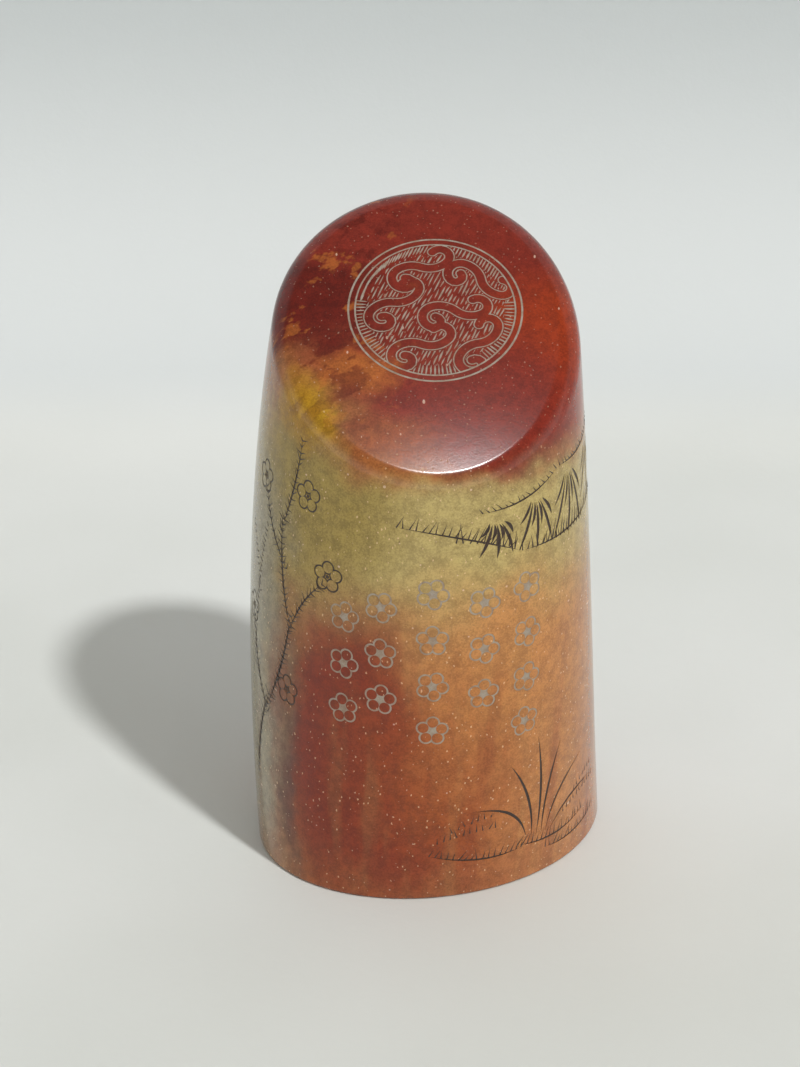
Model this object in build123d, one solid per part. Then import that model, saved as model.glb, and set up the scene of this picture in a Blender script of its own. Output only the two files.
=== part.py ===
from build123d import *
import os
from math import cos, radians, sin

# A carved and polished soapstone seal, in millimetres. It is one block: an oval column with a slight
# belly, cut obliquely on top. The filling of each carved line is a piece of its own, flush with the
# polished surface. The origin is the middle of the seal face, +Z is up, and the crown slopes down
# toward the front, -Y.

# Column: four ovals one above the other, all turned the same way
OVAL_TURN = 31  # degrees, the first axis of each oval, from +X toward the back
FOOT_LENGTH = 36.9
FOOT_WIDTH = 31.1
BELLY_HEIGHT = 25.0
BELLY_LENGTH = 34.1
BELLY_WIDTH = 35.7
BELLY_SHIFT = -1.03  # along X, because the stone leans a little to its left
SHOULDER_HEIGHT = 50.0
SHOULDER_LENGTH = 30.3
SHOULDER_WIDTH = 33.0
SHOULDER_SHIFT = -0.85
HEAD_HEIGHT = 70.0
HEAD_LENGTH = 25.9
HEAD_WIDTH = 24.6
HEAD_SHIFT = 0.16
FOOT_EDGE_RADIUS = 0.35

# Crown: a very large dome whose middle leans toward the front
CROWN_HEIGHT = 57.9  # where the dome crosses the column's middle line
CROWN_LEAN = 32.8  # degrees from level
CROWN_RADIUS = 200.0
RIM_RADIUS = 2.5

# Carved lines
GROOVE_DEPTH = 0.25
FINE_LINE = 0.22
OVERRUN = 40.0  # how far a tool reaches out of the stone

# Roundel on the crown: a fine ring round a sunk ground, in which cloud scrolls are left standing
RING_RADIUS = 8.5
RING_GAP = 0.45
ROUNDEL_RIGHT = 0.3
ROUNDEL_UP = -1.15
RIBBON_WIDTH = 0.82
SCROLL_ARC_SHARES = (  # share of the scroll's size, then the degrees that the arc turns
    (0.075, -180),
    (0.15, -150),
    (0.28, -60),
    (0.26, 75),
    (0.11, 180),
)
SCROLL_PLACE_SHARES = (  # right, up the slope, degrees
    (-0.16, 0.56, 8),
    (0.50, 0.40, -52),
    (-0.46, 0.06, 22),
    (0.22, -0.06, -12),
    (-0.16, -0.52, 6),
    (0.50, -0.50, 38),
)

# Columns of blossoms on the front
BLOSSOM_TOP = 34.6
BLOSSOM_PITCH = 4.9
PETALS = 5
PETAL_RADIUS = 0.72
PETAL_REACH = 0.94
BLOSSOM_COLUMNS = {  # degrees round the stone, share of a pitch that it hangs lower, count
    "far_left": (-29, 0.7, 3),
    "left": (-16.5, 0.35, 3),
    "middle": (0, 0.0, 4),
    "right": (16.5, 0.25, 3),
    "far_right": (32, 0.1, 4),
}

# Plum branch on the left side. Strokes are shares of its height: from x, up, to x, up, then bow
# and thickness
PLUM_TURN = -56  # degrees round the stone from the front, to the right
PLUM_FOOT = 9.0
PLUM_HEIGHT = 40.0
PLUM_SHARES = (
    (-0.12, 0.00, -0.055, 0.25, 0.014, 0.016),
    (-0.06, 0.22, 0.035, 0.50, -0.016, 0.014),
    (0.035, 0.47, -0.015, 0.74, 0.014, 0.012),
    (-0.02, 0.71, 0.045, 1.00, -0.012, 0.010),
    (-0.058, 0.20, -0.155, 0.42, 0.018, 0.010),
    (0.034, 0.46, 0.135, 0.62, 0.012, 0.009),
    (0.012, 0.62, -0.105, 0.79, 0.014, 0.009),
)
PLUM_BLOSSOM_SHARES = (
    (-0.165, 0.445),
    (0.150, 0.645),
    (-0.115, 0.815),
    (0.075, 0.83),
    (0.03, 0.30),
)

# Bamboo sprays high on the right side, as shares of their height
BAMBOO_TURN = 45
BAMBOO_FOOT = 36.0
BAMBOO_HEIGHT = 10.5
BAMBOO_TWIG_SHARES = (
    (0.95, 1.02, 0.10, 0.86, 0.05, 0.036),
    (0.04, 0.85, -0.78, 0.62, 0.05, 0.030),
)
BAMBOO_SPRAY_SHARES = (  # x, up, reach
    (0.72, 0.95, 0.66),
    (0.24, 0.86, 0.74),
    (-0.24, 0.74, 0.60),
    (-0.66, 0.62, 0.46),
)
BAMBOO_LEAF_ANGLES = (-112, -92, -72)
BAMBOO_LEAF_START_SHARE = 0.12
BAMBOO_LEAF_BOW_SHARE = 0.02
BAMBOO_LEAF_WIDTH_SHARE = 0.05

# Orchid clump and ground low on the right side, as shares of the orchid's height
ORCHID_TURN = 42
ORCHID_FOOT = 5.0
ORCHID_HEIGHT = 12.0
ORCHID_LEAF_SHARES = (  # x of the root, x and up of the tip, bow
    (-0.13, -0.66, 0.42, -0.13),
    (-0.08, -0.36, 0.80, -0.07),
    (-0.03, -0.09, 1.00, -0.04),
    (0.03, 0.20, 0.86, 0.05),
    (0.08, 0.54, 0.58, 0.11),
    (0.13, 0.72, 0.24, 0.10),
)
ORCHID_LEAF_WIDTH_SHARE = 0.038
GROUND_SHARES = (
    (-0.95, 0.02, -0.18, -0.06, -0.05, 0.030),
    (-0.22, -0.03, 0.60, -0.02, -0.05, 0.032),
    (0.10, -0.17, 0.85, -0.12, -0.04, 0.028),
)

# Seal face: a raised border and a blossom among cloud scrolls, left standing in a sunk ground
FACE_DEPTH = 1.0
FACE_BORDER = 1.5
FACE_LINE = 0.6
FACE_PETAL_RADIUS = 3.1
FACE_PETAL_REACH = 3.6
FACE_HEART_RADIUS = 1.3
FACE_RIBBON_WIDTH = 0.75
FACE_SCROLLS = 4
FACE_SCROLL_REACH = 10.4
FACE_SCROLL_SIZE = 8.5


def oval(height, length, width, shift, inset):
    """One section of the column, drawn in by the inset all round."""
    half_axes = (length / 2 - inset, width / 2 - inset, 1)
    return Pos(shift, 0, height) * Rot(0, 0, OVAL_TURN) * scale(Circle(1), half_axes)


def crown_place(right=0, up=0, out=0):
    """Place on the crown: right, up the slope and out, from where the column's middle line meets it."""
    return Pos(0, 0, CROWN_HEIGHT) * Rot(CROWN_LEAN, 0, 0) * Pos(right, up, out)


def side_place(turn, foot):
    """Upright drawing plane through the column's middle line, which faces out to the side of the stone."""
    return Pos(0, 0, foot) * Rot(0, 0, turn) * Rot(90, 0, 0)


def block(inset=0):
    """The polished block, or one smaller by the inset all round, whose surface is the bottom of every groove."""
    column = loft(
        [
            oval(0, FOOT_LENGTH, FOOT_WIDTH, 0, inset),
            oval(BELLY_HEIGHT, BELLY_LENGTH, BELLY_WIDTH, BELLY_SHIFT, inset),
            oval(SHOULDER_HEIGHT, SHOULDER_LENGTH, SHOULDER_WIDTH, SHOULDER_SHIFT, inset),
            oval(HEAD_HEIGHT, HEAD_LENGTH, HEAD_WIDTH, HEAD_SHIFT, inset),
        ]
    )
    dome = crown_place(out=-CROWN_RADIUS) * Rot(90, 0, 0) * Sphere(CROWN_RADIUS - inset)
    rough = column & dome
    return fillet(rough.faces().filter_by(GeomType.SPHERE).edges(), RIM_RADIUS - inset)


def blade(x1, y1, x2, y2, bow, thickness):
    """A stroke of the knife: pointed at both ends, thickest in the middle, and bent by its bow."""
    start, end = Vector(x1, y1), Vector(x2, y2)
    across = (end - start).normalized().rotate(Axis.Z, 90)
    middle = (start + end) / 2
    outer = ThreePointArc(start, middle + across * (bow + thickness / 2), end)
    inner = ThreePointArc(end, middle + across * (bow - thickness / 2), start)
    return make_face([outer, inner])


def strokes(shares, size):
    """Every stroke of a table of shares, as one drawing."""
    return Sketch() + [blade(*(share * size for share in row)) for row in shares]


def blossom(radius, reach):
    """A flower of round petals."""
    return Circle(reach) + [place * Circle(radius) for place in PolarLocations(reach, PETALS, 90)]


def ribbon(size, width):
    """A cloud scroll: a ribbon that curls up at both ends, with its middle at the origin."""
    edges = []
    start, heading = Vector(0, 0), Vector(1, 0)
    for radius_share, sweep in SCROLL_ARC_SHARES:
        edges.append(JernArc(start, heading, radius_share * size, sweep))
        start, heading = edges[-1] @ 1, edges[-1] % 1
    ends = [Pos(*end) * Circle(width / 2) for end in (edges[0] @ 0, edges[-1] @ 1)]
    middle = Curve(edges).bounding_box().center()
    return Pos(-middle.X, -middle.Y) * (trace(edges, width) + ends)


def ring(radius, line):
    return Circle(radius) - Circle(radius - line)


def roundel_ground():
    """The ground inside the ring, less the cloud scrolls that stand in it."""
    scroll = ribbon(RING_RADIUS, RIBBON_WIDTH)
    scrolls = Sketch()
    for right, up, turn in SCROLL_PLACE_SHARES:
        scrolls += Pos(right * RING_RADIUS, up * RING_RADIUS) * Rot(0, 0, turn) * scroll
    return Circle(RING_RADIUS - FINE_LINE - RING_GAP) - scrolls


def bamboo():
    """A twig that crosses the stone, with a spray of hanging leaves at each of its joints."""
    leaves = []
    for x, up, reach in BAMBOO_SPRAY_SHARES:
        for angle in BAMBOO_LEAF_ANGLES:
            along, rise = cos(radians(angle)), sin(radians(angle))
            start = (x + BAMBOO_LEAF_START_SHARE * along, up + BAMBOO_LEAF_START_SHARE * rise)
            tip = (x + reach * along, up + reach * rise)
            leaves.append((*start, *tip, BAMBOO_LEAF_BOW_SHARE, BAMBOO_LEAF_WIDTH_SHARE))
    return strokes((*BAMBOO_TWIG_SHARES, *leaves), BAMBOO_HEIGHT)


def orchid():
    """Long bent leaves that spring side by side from the ground."""
    rows = [(root, 0, x, up, bow, ORCHID_LEAF_WIDTH_SHARE) for root, x, up, bow in ORCHID_LEAF_SHARES]
    return strokes(rows, ORCHID_HEIGHT)


def plum_blossoms():
    """The blossoms on the plum branch."""
    flower = blossom(PETAL_RADIUS, PETAL_REACH)
    places = [Pos(x * PLUM_HEIGHT, up * PLUM_HEIGHT) for x, up in PLUM_BLOSSOM_SHARES]
    return Sketch() + [place * flower for place in places]


def blossom_column(count):
    """Blossoms one below the other, the first at the origin."""
    flower = blossom(PETAL_RADIUS, PETAL_REACH)
    return Sketch() + [Pos(0, -row * BLOSSOM_PITCH) * flower for row in range(count)]


def seal_face_ground():
    """The sunk ground of the seal face, which leaves the border, the blossom and the scrolls standing."""
    field = oval(0, FOOT_LENGTH, FOOT_WIDTH, 0, FACE_BORDER)
    flower = blossom(FACE_PETAL_RADIUS, FACE_PETAL_REACH)
    flower -= blossom(FACE_PETAL_RADIUS - FACE_LINE, FACE_PETAL_REACH - FACE_LINE / 2)
    scroll = ribbon(FACE_SCROLL_SIZE, FACE_RIBBON_WIDTH)
    places = [place * Rot(0, 0, 90) for place in PolarLocations(FACE_SCROLL_REACH, FACE_SCROLLS, OVAL_TURN)]
    return field - flower - Circle(FACE_HEART_RADIUS) - [place * scroll for place in places]


def drawings():
    """Each filling's name, with the place inside the stone that its drawing is driven out from."""
    roundel = crown_place(ROUNDEL_RIGHT, ROUNDEL_UP, -RIM_RADIUS)
    left = side_place(PLUM_TURN, PLUM_FOOT)
    low_right = side_place(ORCHID_TURN, ORCHID_FOOT)
    carved = {
        "roundel_ring_filling": (roundel, ring(RING_RADIUS, FINE_LINE)),
        "roundel_ground_filling": (roundel, roundel_ground()),
        "plum_branch_ink": (left, strokes(PLUM_SHARES, PLUM_HEIGHT) - plum_blossoms()),
        "plum_blossom_ink": (left, plum_blossoms()),
        "bamboo_ink": (side_place(BAMBOO_TURN, BAMBOO_FOOT), bamboo()),
        "orchid_ink": (low_right, orchid()),
        "ground_line_ink": (low_right, strokes(GROUND_SHARES, ORCHID_HEIGHT)),
    }
    for side, (turn, drop, count) in BLOSSOM_COLUMNS.items():
        top = BLOSSOM_TOP - drop * BLOSSOM_PITCH
        carved[f"{side}_blossom_filling"] = (side_place(turn, top), blossom_column(count))
    return carved


def main():
    polished = block()
    polished = fillet(polished.faces().filter_by(GeomType.PLANE).edges(), FOOT_EDGE_RADIUS)
    core = block(GROOVE_DEPTH)
    tools = {}
    for name, (place, drawing) in drawings().items():
        tools[name] = extrude(place * drawing, OVERRUN) - core
    nodes = {name: tool & polished for name, tool in tools.items()}
    nodes["stone_body"] = polished - list(tools.values()) - extrude(seal_face_ground(), FACE_DEPTH)
    os.makedirs("parts", exist_ok=True)
    for name, shape in nodes.items():
        export_step(shape, f"parts/{name}.step")


if __name__ == "__main__":
    main()
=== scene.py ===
"""A carved and polished soapstone seal: its stone, the fillings of its carved lines, and the studio round it."""

import math
import random

import bpy
import numpy as np
from bpy.props import FloatProperty, FloatVectorProperty, IntProperty, PointerProperty
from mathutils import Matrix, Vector
from mathutils.geometry import delaunay_2d_cdt


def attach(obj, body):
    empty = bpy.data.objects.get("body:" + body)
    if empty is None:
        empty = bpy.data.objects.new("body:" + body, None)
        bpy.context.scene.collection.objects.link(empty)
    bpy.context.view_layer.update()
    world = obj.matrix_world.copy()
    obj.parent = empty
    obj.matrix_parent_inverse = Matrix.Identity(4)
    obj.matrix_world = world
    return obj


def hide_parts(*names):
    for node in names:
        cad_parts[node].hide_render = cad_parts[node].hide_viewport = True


bl_info = {
    "name": "Soapstone Seal",
    "version": (1, 0, 0),
    "blender": (4, 5, 0),
    "location": "View3D > Sidebar > Seal",
    "description": "Dresses the seal's frame with its polished stone and its filled carving",
    "category": "Object",
}

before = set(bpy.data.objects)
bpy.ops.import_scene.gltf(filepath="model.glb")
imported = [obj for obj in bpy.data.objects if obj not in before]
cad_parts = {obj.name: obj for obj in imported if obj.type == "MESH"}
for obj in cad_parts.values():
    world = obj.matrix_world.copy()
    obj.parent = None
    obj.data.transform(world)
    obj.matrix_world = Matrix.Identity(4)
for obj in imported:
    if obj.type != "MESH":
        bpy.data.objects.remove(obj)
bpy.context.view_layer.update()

MM = 0.001
ROUND = 288  # samples round the rim and the foot
RIM_STEPS = 9
FOOT_STEPS = 3
SEAM_STEP = 0.9  # millimetres between points of the grids
CROWN_STEP = 0.8
UNROLL = 17.0  # millimetres per radian when the side is laid flat
RIGHT = np.array([1.0, 0.0, 0.0])
ABOVE = np.array([0.0, 0.0, 1.0])
WELD = 0.05 * 1e-6  # metres within which corners are one
SMALLEST_STROKE = 1e-9  # square metres

# The camera, as fitted to the outline of the stone
FRAME_HEIGHT = 1067
FOCAL_LENGTH = 2992.666  # in the frame's pixels
SENSOR = 36.0
CAMERA_DISTANCE = 0.3
CAMERA_TILT = 25.3  # degrees
CAMERA_TARGET = (-0.003106, 0.0, 0.032769)

# The paper's sweep behind the stone
SWEEP_START = 0.085
SWEEP_RADIUS = 0.06
SWEEP_ANGLE = 80  # degrees


class SealSizes(bpy.types.PropertyGroup):
    """Sizes of the stone and its carving. They repeat the CAD's, because the two have to agree."""

    foot: FloatVectorProperty(
        name="Foot",
        description="Length, width and sideways shift of the oval that the stone stands on",
        default=(0.0369, 0.0311, 0.0),
        size=3,
        precision=5,
        unit="LENGTH",
    )
    belly: FloatVectorProperty(
        name="Belly",
        description="Length, width and sideways shift of the oval low on the column",
        default=(0.0341, 0.0357, -0.00103),
        size=3,
        precision=5,
        unit="LENGTH",
    )
    shoulder: FloatVectorProperty(
        name="Shoulder",
        description="Length, width and sideways shift of the oval high on the column",
        default=(0.0303, 0.0330, -0.00085),
        size=3,
        precision=5,
        unit="LENGTH",
    )
    head: FloatVectorProperty(
        name="Head",
        description="Length, width and sideways shift of the oval where the column would end if it were not cut",
        default=(0.0259, 0.0246, 0.00016),
        size=3,
        precision=5,
        unit="LENGTH",
    )
    heights: FloatVectorProperty(
        name="Heights",
        description="Heights of the four ovals",
        default=(0.0, 0.025, 0.050, 0.070),
        size=4,
        precision=5,
        unit="LENGTH",
    )
    oval_turn: FloatProperty(
        name="Turn",
        description="Turn of every oval",
        default=math.radians(31),
        subtype="ANGLE",
    )
    crown_height: FloatProperty(
        name="Crown height",
        description="Height at which the crown crosses the middle line",
        default=0.0579,
        unit="LENGTH",
    )
    crown_lean: FloatProperty(
        name="Crown lean",
        description="Lean of the crown from level, toward the front",
        default=math.radians(32.8),
        subtype="ANGLE",
    )
    crown_radius: FloatProperty(
        name="Crown radius", description="Radius of the crown's dome", default=0.2, unit="LENGTH"
    )
    rim_radius: FloatProperty(
        name="Rim", description="Radius of the rolled rim round the crown", default=0.0025, unit="LENGTH"
    )
    foot_radius: FloatProperty(
        name="Foot edge", description="Radius of the edge round the foot", default=0.00035, unit="LENGTH"
    )
    groove: FloatProperty(
        name="Groove", description="Depth of the carved lines", default=0.00025, precision=5, unit="LENGTH"
    )
    sunk: FloatProperty(
        name="Sunk",
        description="How far the fillings lie below the polish",
        default=0.00003,
        precision=6,
        unit="LENGTH",
    )
    relief: FloatProperty(
        name="Relief", description="Depth of the ground of the seal face", default=0.001, unit="LENGTH"
    )
    ring: FloatProperty(
        name="Ring", description="Radius of the ring round the roundel", default=0.0085, unit="LENGTH"
    )
    hatch_pitch: FloatProperty(
        name="Hatching",
        description="Distance between the strokes that fill the roundel's ground",
        default=0.00037,
        precision=5,
        unit="LENGTH",
    )
    blossom_pitch: FloatProperty(
        name="Blossom pitch",
        description="Distance from one blossom to the next below it",
        default=0.0049,
        unit="LENGTH",
    )
    petal: FloatVectorProperty(
        name="Petal",
        description="Radius of a petal and its distance from the blossom's middle",
        default=(0.00072, 0.00094),
        size=2,
        precision=5,
        unit="LENGTH",
    )
    tick_pitch: FloatProperty(
        name="Tick pitch",
        description="Distance between the short strokes that stand along a drawn line",
        default=0.00062,
        precision=5,
        unit="LENGTH",
    )
    tick_length: FloatProperty(
        name="Tick length",
        description="Length of the short strokes that stand along a drawn line",
        default=0.0010,
        precision=5,
        unit="LENGTH",
    )
    tick_width: FloatProperty(
        name="Tick width",
        description="Width of the short strokes at their root",
        default=0.00016,
        precision=6,
        unit="LENGTH",
    )
    tick_spread: FloatProperty(
        name="Tick spread",
        description="How far a short stroke may lean out of its row",
        default=math.radians(22),
        subtype="ANGLE",
    )
    seed: IntProperty(name="Seed", description="Seed of what is scattered by chance", default=7)


class SealColours(bpy.types.PropertyGroup):
    """Colours of the fillings and the paper, as they are seen in even light."""

    pale: FloatVectorProperty(
        name="Pale", description="Filling of the pale lines", default=(0.33, 0.29, 0.24), subtype="COLOR"
    )
    dark: FloatVectorProperty(
        name="Dark", description="Ink of the dark lines", default=(0.028, 0.017, 0.012), subtype="COLOR"
    )
    floor: FloatVectorProperty(
        name="Floor", description="Paper that the stone stands on", default=(0.77, 0.78, 0.765), subtype="COLOR"
    )


def sizes():
    return bpy.context.scene.seal_sizes


def colours():
    return bpy.context.scene.seal_colours


class Block:
    """The polished form: a column through four ovals, a leaning dome on top and a rolled rim between them."""

    def __init__(self, given):
        turn = given.oval_turn
        self.axes = (
            np.array([math.cos(turn), math.sin(turn), 0.0]),
            np.array([-math.sin(turn), math.cos(turn), 0.0]),
        )
        ovals = (given.foot, given.belly, given.shoulder, given.head)
        rows = np.array([(o[0] / 2, o[1] / 2, o[2], h) for o, h in zip(ovals, given.heights)])
        around = np.linspace(0, 2 * math.pi, 24, endpoint=False)
        rings = [self.on_oval(row[:, None] * np.ones(24), around) for row in rows]
        gaps = [np.linalg.norm(b - a, axis=1).mean() for a, b in zip(rings, rings[1:])]
        steps = np.concatenate([[0], np.cumsum(gaps)]) / sum(gaps)
        self.terms = np.linalg.solve(np.vander(steps, 4), rows)
        self.top = given.heights[3]
        self.lean = given.crown_lean
        self.up = np.array([0.0, math.cos(self.lean), math.sin(self.lean)])
        self.out = np.array([0.0, -math.sin(self.lean), math.cos(self.lean)])
        self.crown_middle = given.crown_height * ABOVE
        self.dome_radius = given.crown_radius
        self.dome_middle = self.crown_middle - self.dome_radius * self.out
        self.rim_radius = given.rim_radius
        self.foot_radius = given.foot_radius
        self.seam = self.angle_toward(0.0, 1.0)

    def on_oval(self, oval, around):
        half_length, half_width, shift, height = oval
        return (
            shift[:, None] * RIGHT
            + (half_length * np.cos(around))[:, None] * self.axes[0]
            + (half_width * np.sin(around))[:, None] * self.axes[1]
            + height[:, None] * ABOVE
        )

    def oval_at(self, height):
        """The oval at each height, and how fast it changes with height."""
        height = np.asarray(height, float)
        step = height / self.top
        rise, slope = self.terms[:, 3], np.polyder(self.terms[:, 3])
        for _ in range(8):
            step = step - (np.polyval(rise, step) - height) / np.polyval(slope, step)
        oval = np.array([np.polyval(self.terms[:, k], step) for k in range(4)])
        change = np.array([np.polyval(np.polyder(self.terms[:, k]), step) for k in range(4)])
        return oval, change / change[3]

    def side(self, around, height):
        """Points and normals of the side."""
        oval, change = self.oval_at(height)
        points = self.on_oval(oval, around)
        along = (-oval[0] * np.sin(around))[:, None] * self.axes[0]
        along = along + (oval[1] * np.cos(around))[:, None] * self.axes[1]
        normals = np.cross(along, self.on_oval(change, around))
        return points, normals / np.linalg.norm(normals, axis=1)[:, None]

    def dome(self, right, up):
        """Points and normals of the crown, from distances on the plane that it touches."""
        rise = np.sqrt(self.dome_radius**2 - right**2 - up**2) - self.dome_radius
        points = self.crown_middle + right[:, None] * RIGHT + up[:, None] * self.up + rise[:, None] * self.out
        return points, (points - self.dome_middle) / self.dome_radius

    def angle_toward(self, x, y):
        """The oval's own angle where a level ray from the middle line meets the belly."""
        oval, _ = self.oval_at(np.array([self.top / 3]))
        toward = np.array([x, y, 0.0])
        return math.atan2(toward @ self.axes[1] / oval[1][0], toward @ self.axes[0] / oval[0][0])

    def facing(self, turn, foot, drawn):
        """Where points drawn on an upright plane through the middle line land on the side, as angles and heights."""
        across = np.array([math.cos(turn), math.sin(turn), 0.0])
        outward = np.array([math.sin(turn), -math.cos(turn), 0.0])
        height = foot + drawn[:, 1]
        oval, _ = self.oval_at(height)
        start = drawn[:, :1] * across - oval[2][:, None] * RIGHT
        reach = [(start @ axis / half, outward @ axis / half) for axis, half in zip(self.axes, oval[:2])]
        square = sum(step**2 for _, step in reach)
        middle = sum(where * step for where, step in reach)
        rest = sum(where**2 for where, _ in reach) - 1
        far = (-middle + np.sqrt(np.maximum(middle**2 - square * rest, 0))) / square
        return np.arctan2(reach[1][0] + far * reach[1][1], reach[0][0] + far * reach[0][1]), height

    def where(self, test, low, high, around):
        """The height at which a rising test of the side's points and normals crosses zero."""
        low, high = low * np.ones_like(around), high * np.ones_like(around)
        for _ in range(45):
            middle = (low + high) / 2
            above = test(*self.side(around, middle)) > 0
            low, high = np.where(above, low, middle), np.where(above, middle, high)
        return (low + high) / 2


def turned_between(start, end, share):
    """Unit vectors part of the way from one set to another, on the arc between them."""
    angle = np.arccos(np.clip((start * end).sum(1), -1, 1))[:, None]
    return (np.sin((1 - share) * angle) * start + np.sin(share * angle) * end) / np.sin(angle)


# Drawings. Each is a list of closed outlines in metres on its own plane.


def circle(x, y, radius, steps=96):
    around = np.linspace(0, 2 * math.pi, steps, endpoint=False)
    return np.stack([x + radius * np.cos(around), y + radius * np.sin(around)], 1)


def blade(x1, y1, x2, y2, bow, thickness, steps=8):
    """A stroke of the knife: pointed at both ends, thickest in the middle, and bent by its bow."""
    start, end = np.array([x1, y1]), np.array([x2, y2])
    way = end - start
    across = np.array([-way[1], way[0]]) / np.linalg.norm(way)
    share = np.linspace(0, 1, steps + 1)[:, None]
    swell = 4 * share * (1 - share)
    outer = start + share * way + swell * (bow + thickness / 2) * across
    inner = start + share * way + swell * (bow - thickness / 2) * across
    return np.concatenate([inner, outer[-2:0:-1]])


def moved(loop, x=0.0, y=0.0, turn=0.0):
    cos, sin = math.cos(turn), math.sin(turn)
    return loop @ np.array([[cos, sin], [-sin, cos]]) + np.array([x, y])


def petals(radius, reach, count=5, steps=22):
    """The discs of a blossom's petals, the first one upright."""
    loops = []
    for number in range(count):
        angle = math.pi / 2 + 2 * math.pi * number / count
        loops.append(circle(reach * math.cos(angle), reach * math.sin(angle), radius, steps))
    return loops


def scroll_path(size):
    """The middle line of a cloud scroll that curls up at both ends, centred on its own box."""
    point, heading, points = np.zeros(2), 0.0, []
    for share, sweep in ((0.075, -180), (0.15, -150), (0.28, -60), (0.26, 75), (0.11, 180)):
        radius, sweep = share * size, math.radians(sweep)
        side = math.copysign(1, sweep)
        middle = point + side * radius * np.array([-math.sin(heading), math.cos(heading)])
        steps = max(6, round(abs(sweep) * radius / (0.32 * MM)))
        for step in range(steps):
            angle = heading + sweep * step / steps
            points.append(middle + side * radius * np.array([math.sin(angle), -math.cos(angle)]))
        heading += sweep
        point = middle + side * radius * np.array([math.sin(heading), -math.cos(heading)])
    points = np.array([*points, point])
    return points - (points.min(0) + points.max(0)) / 2


def ribbon(path, width, cap_steps=8):
    """The outline of a band of steady width along a path, with round ends."""
    way = np.gradient(path, axis=0)
    way /= np.linalg.norm(way, axis=1)[:, None]
    across = np.stack([-way[:, 1], way[:, 0]], 1) * width / 2
    caps = []
    for end, start in ((path[-1], -across[-1]), (path[0], across[0])):
        for step in range(1, cap_steps):
            caps.append(end + moved(start[None], turn=math.pi * step / cap_steps)[0])
    half = cap_steps - 1
    return np.concatenate([path - across, caps[:half], (path + across)[::-1], caps[half:]])


class Drawing:
    """What is cut for one piece: inside any of its shapes, outside all of its gaps, and within its bounds."""

    def __init__(self, piece, shapes, gaps=(), bounds=()):
        self.piece, self.shapes, self.gaps, self.bounds = piece, list(shapes), list(gaps), list(bounds)

    def put(self, place):
        """The same drawing with every outline moved by a function."""
        sets = (self.shapes, self.gaps, self.bounds)
        return Drawing(self.piece, *([place(loop) for loop in loops] for loops in sets))


def blossom_drawing(piece, petal, line, heart):
    radius, reach = petal
    gaps = petals(radius - line, reach)
    return [Drawing(piece, petals(radius, reach), gaps), Drawing(piece, [circle(0, 0, heart, 16)])]


SCROLL_PLACES = (  # right and up as shares of the ring's radius, and degrees
    (-0.16, 0.56, 8),
    (0.50, 0.40, -52),
    (-0.46, 0.06, 22),
    (0.22, -0.06, -12),
    (-0.16, -0.52, 6),
    (0.50, -0.50, 38),
)


def roundel_drawings(given, chance):
    """The roundel: a double ring, cloud scrolls in outline, and short strokes that fill the ground between them."""
    ring, line = given.ring, 0.20 * MM
    inner = ring - 0.67 * MM
    field = circle(0, 0, inner, 200)
    path = scroll_path(ring)
    placed = []
    for right, up, degrees in SCROLL_PLACES:
        placed.append(moved(path, right * ring, up * ring, math.radians(degrees)))
    bands = [ribbon(path, 0.82 * MM) for path in placed]
    edges = [ribbon(path, 1.08 * MM) for path in placed]
    moats = [ribbon(path, 1.24 * MM) for path in placed]
    drawings = [
        Drawing("roundel_ring_filling", [circle(0, 0, ring, 240)], [circle(0, 0, ring - line, 240)]),
        Drawing("roundel_ground_filling", [field], [circle(0, 0, inner - 0.17 * MM, 200)]),
        Drawing("roundel_ground_filling", edges, bands, [field]),
    ]
    strokes = []
    slant = math.radians(66)
    along = np.array([math.cos(slant), math.sin(slant)])
    across = np.array([-along[1], along[0]])
    rows = int(2 * ring / given.hatch_pitch)
    for row in range(rows):
        offset = -ring + given.hatch_pitch * (row + 0.5)
        place = -ring - chance.uniform(0, 1.5) * MM
        while place < ring:
            length = chance.uniform(0.9, 2.4) * MM
            middle = across * (offset + chance.uniform(-0.05, 0.05) * MM) + along * (place + length / 2)
            far = np.linalg.norm(middle)
            if far < ring and not (far > 0.83 * ring and middle[1] < 0.2 * ring):
                tilt = chance.uniform(-0.09, 0.09)
                half = moved(along[None], turn=tilt)[0] * length / 2
                bow = chance.uniform(-0.05, 0.05) * MM
                thickness = chance.uniform(0.13, 0.2) * MM
                strokes.append(blade(*(middle - half), *(middle + half), bow, thickness, 5))
            place += length + chance.uniform(0.05, 0.22) * MM
    drawings.append(Drawing("roundel_ground_filling", strokes, moats, [circle(0, 0, 0.85 * inner, 120)]))
    spokes = []
    count = int(2 * math.pi * 0.9 * inner / given.hatch_pitch)
    for number in range(count):
        angle = 2 * math.pi * number / count + chance.uniform(-0.006, 0.006)
        lower = math.sin(angle) < 0.15
        outward = np.array([math.cos(angle), math.sin(angle)])
        toward = outward if lower else along * math.copysign(1, along @ outward)
        middle = 0.92 * inner * np.array([math.cos(angle), math.sin(angle)])
        half = toward * chance.uniform(0.55, 0.85) * MM
        strokes_thickness = chance.uniform(0.14, 0.21) * MM
        spokes.append(blade(*(middle - half), *(middle + half), 0.0, strokes_thickness, 5))
    drawings.append(Drawing("roundel_ground_filling", spokes, moats, [circle(0, 0, inner - 0.05 * MM, 200)]))
    return drawings


BLOSSOM_COLUMNS = {  # degrees round the stone, share of a pitch that it hangs lower, count
    "far_left": (-29, 0.7, 3),
    "left": (-16.5, 0.35, 3),
    "middle": (0, 0.0, 4),
    "right": (16.5, 0.25, 3),
    "far_right": (32, 0.1, 4),
}
BLOSSOM_TOP = 34.6 * MM


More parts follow.
